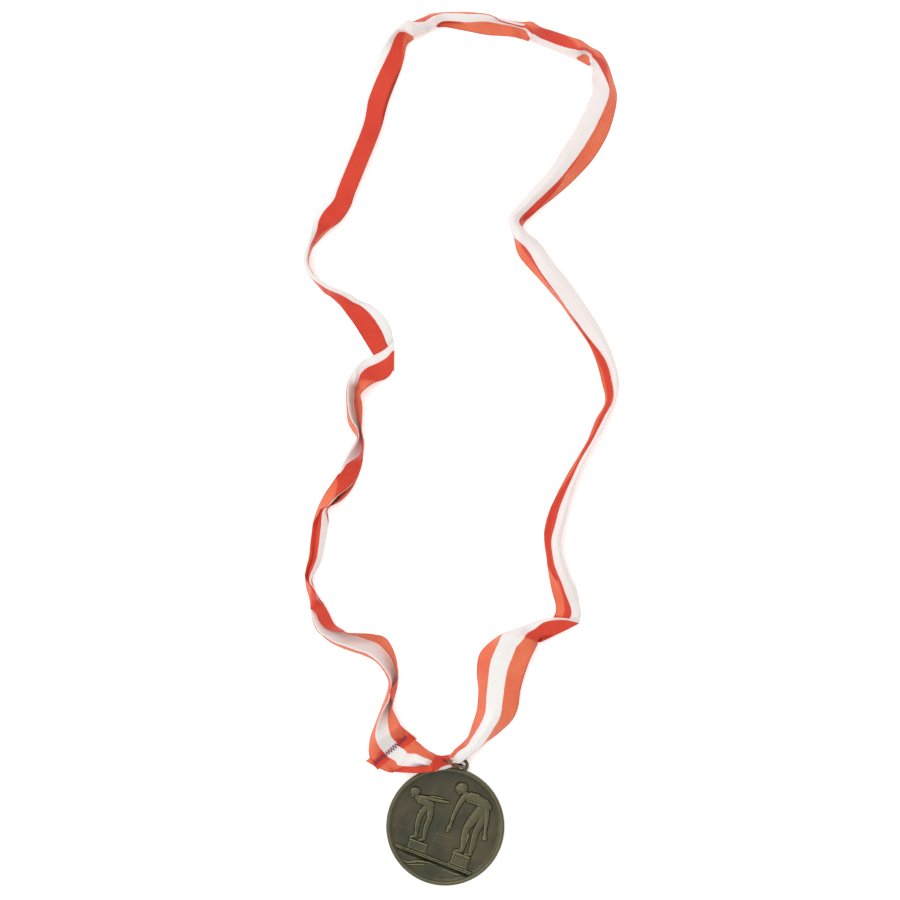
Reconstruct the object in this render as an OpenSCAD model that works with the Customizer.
// Sports finisher medal: a cast disc with a swimming relief, hung by a jump ring from a
// sewn three-stripe neck ribbon that lies folded on a table.
// Origin: centre of the disc's flat back face. +Z up, +Y towards the far end of the loop.

/* [Medal] */
// Diameter of the disc
disc_d = 50; // [49:0.5:51]
// Thickness of the disc over its rim
disc_t = 3.2; // [3:0.1:3.6]
// Width of the raised rim
rim_w = 1.8; // [1.2:0.1:2.4]
// Depth of the field below the rim
field_depth = 1; // [0.6:0.1:1.2]
// Height of the relief above the field
relief_h = 0.9; // [0.4:0.1:0.9]
// Turn of the relief, clockwise, away from the far end of the loop
relief_turn = 21; // [0:1:40]

/* [Eyelet] */
// Distance from the disc's centre to the eyelet's centre
eyelet_reach = 26.8; // [26.6:0.1:27]
// Direction of the eyelet, clockwise from +Y
eyelet_turn = 15; // [10:1:20]
// Diameter of the eyelet's hole
eyelet_hole_d = 3.2; // [3.2:0.1:3.4]
// Width of the metal around the hole
eyelet_wall = 1.4; // [1.2:0.1:1.5]
// Thickness of the eyelet
eyelet_t = 1.2; // [1:0.1:1.2]

/* [Jump ring] */
// Diameter of the wire
wire_d = 1; // [0.9:0.1:1.1]
// Diameter of the ring, from wire centre to wire centre
ring_d = 9.6; // [9.4:0.1:9.8]
// Angle of the split between the wire's ends
ring_split = 4; // [2:1:8]
// Direction in which the ring lies from the eyelet, anticlockwise from +X
ring_heading = 160; // [155:1:165]

/* [Ribbon] */
// Width of the ribbon when flat
ribbon_w = 22; // [21:0.5:23]
// Thickness of the woven ribbon
ribbon_t = 0.4; // [0.3:0.05:0.4]
// Diameter of the sewing thread
thread_d = 0.3; // [0.2:0.05:0.3]
// Number of zigzag stitches in the seam
stitches = 10; // [8:1:14]

/* [Hidden] */
$fn = 64;

disc_r = disc_d / 2;
field_z = disc_t - field_depth;
edge_round = 0.6;
rim_slope = 0.5;
field_r = disc_r - rim_w;
relief_sink = 0.3;

eyelet_r = eyelet_hole_d / 2 + eyelet_wall;
eyelet_z = disc_t - eyelet_t - 0.2;
eyelet_neck = 2 * eyelet_r - 0.8;
eyelet_x = eyelet_reach * sin(eyelet_turn);
eyelet_y = eyelet_reach * cos(eyelet_turn);

// The ring stands on its edge and passes through the middle of the hole
ring_r = ring_d / 2;
ring_z = ring_r + wire_d / 2;
hole_drop = ring_z - eyelet_z - eyelet_t / 2;
ring_reach = sqrt(ring_r * ring_r - hole_drop * hole_drop) - 0.1;
ring_x = eyelet_x + ring_reach * cos(ring_heading);
ring_y = eyelet_y + ring_reach * sin(ring_heading);
split_place = 60;

// Route of the ribbon's middle: [x, y, height of its lowest edge, folded width, roll].
// It starts under the seam, runs up the left side, over the far end and down the right
// side, passes through the ring and ends on top of its own beginning.
ROUTE = [
    [-20.7, 30.2, 0.4, 22, 0],
    [-23.2, 32.2, 0.4, 22, 0],
    [-25.8, 35.5, 0.4, 22, 0],
    [-26.3, 41.5, 0.3, 17, 5],
    [-24.8, 50.5, 0.2, 8, 40],
    [-22.5, 58, 0.2, 8, 55],
    [-22.7, 65.5, 0.2, 8, 40],
    [-27.5, 73, 0.2, 9, 0],
    [-35.5, 77.3, 0.2, 10, -20],
    [-44, 80.3, 0.2, 9, -30],
    [-51, 86.2, 0.2, 9, -35],
    [-55.6, 95, 0.2, 8, -55],
    [-57.5, 104.5, 0.2, 8, -60],
    [-56, 115.5, 0.2, 8, -50],
    [-53.6, 125.5, 0.2, 8, -45],
    [-51.2, 135, 0.2, 8, -55],
    [-45.5, 143.5, 0.2, 9, -20],
    [-39.5, 152.3, 0.2, 8, -20],
    [-36.8, 161, 0.2, 8, -60],
    [-37.9, 170, 0.2, 8, -45],
    [-38, 179, 0.2, 8, -40],
    [-35.5, 188, 0.2, 8, -20],
    [-29.5, 194.8, 0.3, 8, 0],
    [-26.2, 200.5, 0.4, 7, 0],
    [-28.3, 207.5, 0.3, 8, 0],
    [-35.7, 218, 0.2, 10, 0],
    [-44.2, 224.7, 0.2, 9, 25],
    [-52, 229, 0.2, 8, 65],
    [-58, 237.3, 0.2, 8, 78],
    [-56.9, 246, 0.2, 8, 70],
    [-50.5, 256.2, 0.2, 9, 15],
    [-42.9, 269.2, 0.2, 10, 0],
    [-37.2, 282.5, 0.2, 9, 0],
    [-32.3, 295, 0.2, 9, 0],
    [-28.4, 308, 0.2, 9, 0],
    [-23.8, 323, 0.2, 10, 0],
    [-18, 333.3, 0.2, 8, 40],
    [-8.6, 338.8, 0.2, 8, 40],
    [2.5, 340.3, 0.2, 8, 35],
    [14.7, 339.6, 0.2, 8, 25],
    [26.1, 337.9, 0.2, 8, 20],
    [37.5, 335.6, 0.2, 8, 35],
    [49.5, 331, 0.2, 8, 25],
    [60.8, 324.5, 0.2, 9, 20],
    [66.4, 316.5, 0.2, 10, 10],
    [66.8, 307.5, 0.2, 11, 0],
    [63.2, 296.5, 0.2, 11, 0],
    [56, 284.5, 0.2, 11, 0],
    [46.5, 273, 0.2, 10, 0],
    [36.5, 263.2, 0.2, 9, 20],
    [31.2, 255.6, 0.2, 8, 50],
    [31.9, 249.2, 0.2, 8, 30],
    [36.3, 242.8, 0.2, 9, 0],
    [43, 234.3, 0.2, 9, 0],
    [50, 225.8, 0.2, 9, 0],
    [56.6, 216.8, 0.2, 8, -20],
    [62.5, 207.4, 0.2, 8, -30],
    [66.8, 198, 0.2, 8, -35],
    [69.2, 188.7, 0.2, 8, -40],
    [69.3, 181.2, 0.2, 8, -50],
    [66.8, 173.5, 0.2, 8, -45],
    [62.2, 163.3, 0.2, 8, -50],
    [55.8, 151.8, 0.2, 8, -50],
    [49.3, 138.5, 0.2, 9, -20],
    [45.7, 126.5, 0.2, 9, -20],
    [44.9, 117, 0.2, 8, -30],
    [46.8, 108, 0.2, 8, -30],
    [49.8, 98.5, 0.2, 10, 0],
    [50.2, 90.8, 0.4, 8, 0],
    [46, 84.8, 0.5, 8, 0],
    [36.5, 80, 0.3, 12, 0],
    [28, 74.3, 0.2, 17, 0],
    [23.6, 66, 0.2, 20, 0],
    [22.4, 56.5, 0.2, 19, 0],
    [20.2, 47.5, 0.2, 15, 0],
    [14.7, 39.4, 0.8, 9, 15],
    [9, 33.2, 2.2, 7, 30],
    [3.7, 27.2, 3.2, 6.5, 32],
    [-2.2, 24.6, 3.8, 5.8, 5],
    [-8.5, 25.8, 3.7, 10, 0],
    [-14.2, 27.2, 3.6, 12, 0],
    [-19.4, 29.6, 1.9, 18, 0],
    [-23.2, 32.3, 0.95, 22, 0],
    [-25.7, 34.2, 0.95, 22, 0]
];
STEPS = 2;
END = len(ROUTE) - 1;

// A point on the smooth curve through four neighbouring rows, t of the way from b to c
function between(a, b, c, d, t) =
    b + (c - a) * t / 2 + (a - 2.5 * b + 2 * c - d / 2) * t * t
    + (1.5 * b - a / 2 - 1.5 * c + d / 2) * t * t * t;
function row(i) = ROUTE[min(max(i, 0), END)];
PATH = concat(
    [for (i = [0:END - 1]) for (k = [0:STEPS - 1])
        between(row(i - 1), row(i), row(i + 1), row(i + 2), k / STEPS)],
    [ROUTE[END]]
);
LAST = len(PATH) - 1;

// The folded ribbon keeps the area of the flat one: what it loses in width it gains in depth
function depth(p) = ribbon_w * ribbon_t / p[3];
function half_rise(p) = abs(p[3] / 2 * sin(p[4])) + depth(p) / 2 * cos(p[4]);
function heading(i) = PATH[min(i + 1, LAST)] - PATH[max(i - 1, 0)];
function left(i) = [-heading(i)[1], heading(i)[0]] / norm([heading(i)[0], heading(i)[1]]);
EDGE = [[-1, -0.4], [-0.93, -1], [0.93, -1], [1, -0.4], [1, 0.4], [0.93, 1], [-0.93, 1], [-1, 0.4]];
SIDES = len(EDGE);

function section_point(p, side, corner) =
    let (u = corner[0] * p[3] / 2, v = corner[1] * depth(p) / 2)
    let (across = u * cos(p[4]) - v * sin(p[4]), up = u * sin(p[4]) + v * cos(p[4]))
    [p[0] + side[0] * across, p[1] + side[1] * across, p[2] + half_rise(p) + up];

// Faces of a tube of n rings with the given number of sides, closed at both ends
function tube_faces(n, sides) = concat(
    [for (i = [0:n - 2]) for (j = [0:sides - 1])
        [i * sides + j, (i + 1) * sides + j, i * sides + (j + 1) % sides]],
    [for (i = [0:n - 2]) for (j = [0:sides - 1])
        [i * sides + (j + 1) % sides, (i + 1) * sides + j, (i + 1) * sides + (j + 1) % sides]],
    [[for (j = [0:sides - 1]) j]],
    [[for (j = [sides - 1:-1:0]) (n - 1) * sides + j]]
);

// The seam crosses the two overlapping ends; the stitches zigzag along it
seam_x = -23.2;
seam_y = 32.1;
seam_turn = 39.5;
seam_len = 18;
zigzag_w = 2;
thread_sides = 6;
thread_sink = 0.05;
ribbon_under = 0.4;
ribbon_over = 0.95 + ribbon_t;

// One row of the relief: a limb is a bar with round ends
module limb(from, to, w) {
    reach = to - from;
    translate(from) rotate(atan2(reach[1], reach[0])) {
        translate([0, -w / 2]) square([norm(reach), w]);
        circle(d = w, $fn = 24);
        translate([norm(reach), 0]) circle(d = w, $fn = 24);
    }
}

module large_swimmer() {
    translate([0.6, 17.4]) circle(r = 1.9, $fn = 32);
    limb([2.5, 16.4], [5, 15], 2.6);
    limb([5, 15], [12, 14], 5.2);
    limb([2.6, 13.6], [1.7, -1], 1.5);
    limb([14, 13], [16.5, 4.5], 1.5);
    limb([16.5, 4.5], [17.8, 1.2], 1.6);
    limb([11.6, 11.5], [8.8, 3], 3.4);
    limb([8.8, 3], [10, -7.6], 2.4);
    limb([13, 11], [12.6, 2], 3.2);
    limb([12.6, 2], [13.8, -7.6], 2.2);
}

module small_swimmer() {
    translate([-17.5, 9]) circle(r = 1.7, $fn = 32);
    limb([-16, 8.2], [-14, 7], 2);
    limb([-14, 7], [-9.4, 6.8], 3.6);
    limb([-13.4, 8.4], [-2.4, 10.2], 1.2);
    limb([-9.6, 6], [-11.2, 0.6], 2.4);
    limb([-11.2, 0.6], [-10.4, -8.8], 1.7);
    limb([-8.6, 6], [-7.8, 0.6], 2.4);
    limb([-7.8, 0.6], [-6.4, -8.8], 1.7);
}

module poolside() {
    translate([7.2, -13.6]) square([7, 5.4]);
    translate([-11.9, -14]) square([7.6, 4.6]);
    translate([-16, -16]) square([32, 1.8]);
    limb([-8.6, -19.6], [-2.6, -17.8], 0.9);
    limb([-2.6, -17.8], [4.4, -18.6], 0.9);
}

module medal() {
    color("#48453a") difference() {
        union() {
            rotate_extrude($fn = 180) polygon([
                [0, 0], [disc_r - edge_round, 0], [disc_r, edge_round],
                [disc_r, disc_t - edge_round], [disc_r - edge_round, disc_t],
                [field_r + rim_slope, disc_t], [field_r, field_z], [0, field_z]
            ]);
            translate([eyelet_x, eyelet_y, eyelet_z]) cylinder(r = eyelet_r, h = eyelet_t);
            rotate(90 - eyelet_turn) translate([field_r + rim_slope, -eyelet_neck / 2, eyelet_z])
                cube([eyelet_reach - field_r - rim_slope, eyelet_neck, eyelet_t]);
            rotate(-relief_turn) translate([0, 0, field_z - relief_sink])
                linear_extrude(relief_sink + relief_h) {
                    large_swimmer();
                    small_swimmer();
                    poolside();
                }
        }
        translate([eyelet_x, eyelet_y, -1]) cylinder(d = eyelet_hole_d, h = disc_t + 2);
    }
}

module jump_ring() {
    color("#5a5244") translate([ring_x, ring_y, ring_z]) rotate([90, 0, ring_heading])
        rotate(split_place) rotate_extrude(angle = 360 - ring_split)
            translate([ring_r, 0]) circle(d = wire_d, $fn = 32);
}

module ribbon() {
    color("#ee6446") polyhedron(
        points = [for (i = [0:LAST]) for (c = EDGE) section_point(PATH[i], left(i), c)],
        faces = tube_faces(LAST + 1, SIDES)
    );
}

// A thread that zigzags along the seam with its underside at the given height
module stitch_row(z) {
    points = [for (i = [0:2 * stitches])
        [i * seam_len / (2 * stitches) - seam_len / 2, (i % 2 - 0.5) * zigzag_w]];
    translate([seam_x, seam_y, z + thread_d / 2]) rotate(seam_turn) polyhedron(
        points = [for (p = points) for (k = [0:thread_sides - 1])
            let (a = 360 * k / thread_sides)
            [p[0], p[1] + thread_d / 2 * cos(a), thread_d / 2 * sin(a)]],
        faces = tube_faces(len(points), thread_sides)
    );
}

module needle_thread() { color("#6e1e46") stitch_row(ribbon_over - thread_sink); }
module bobbin_thread() { color("#6e1e46") stitch_row(ribbon_under + thread_sink - thread_d); }

medal();
jump_ring();
ribbon();
needle_thread();
bobbin_thread();
